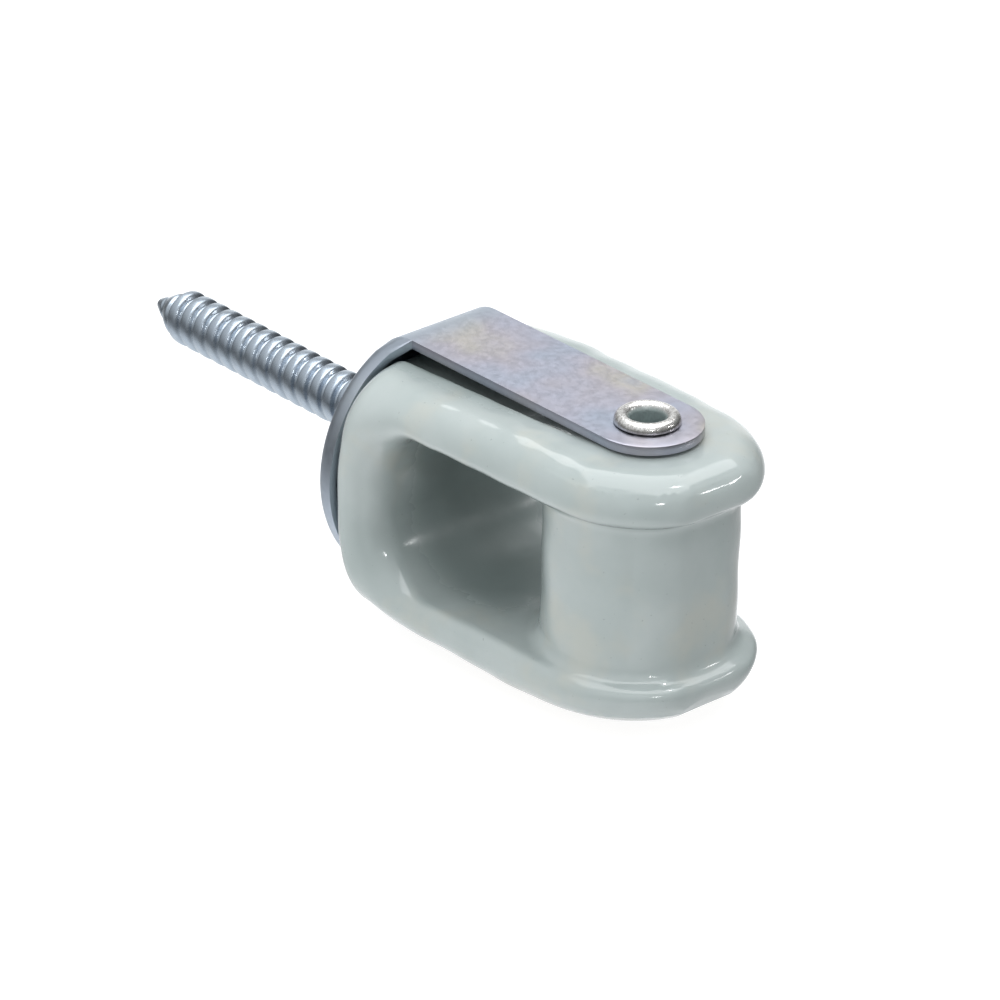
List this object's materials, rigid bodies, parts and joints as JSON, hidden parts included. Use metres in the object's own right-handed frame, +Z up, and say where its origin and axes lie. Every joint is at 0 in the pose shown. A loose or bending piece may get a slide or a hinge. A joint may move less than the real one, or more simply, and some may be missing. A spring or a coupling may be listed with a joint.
{
  "type": "porcelain fence insulator",
  "caption": "Glazed porcelain wire insulator with a through window and round column, held in a riveted steel strap on a wood lag screw.",
  "frame": {"origin": "where the screw's axis meets the back of the strap's round plate, the face that comes down on the post", "axes": "+X along the screw away from the post, through the centre of the body; +Y along the fence wire, through the window; +Z up along the rivet"},
  "size_m": [0.1493, 0.0492, 0.0538],
  "materials": {
    "porcelain_glaze": "clear glossy grey-green glaze",
    "zinc_sheet": "satin blue zinc plate with faint iridescence",
    "zinc_screw": "bright blue zinc plate on a rolled thread",
    "bright_rivet": "bright rolled steel"
  },
  "bodies": {
    "root": {"porcelain_body": "porcelain_glaze", "steel_strap": "zinc_sheet", "lag_screw": "zinc_screw", "tubular_rivet": "bright_rivet"}
  },
  "joints": []
}
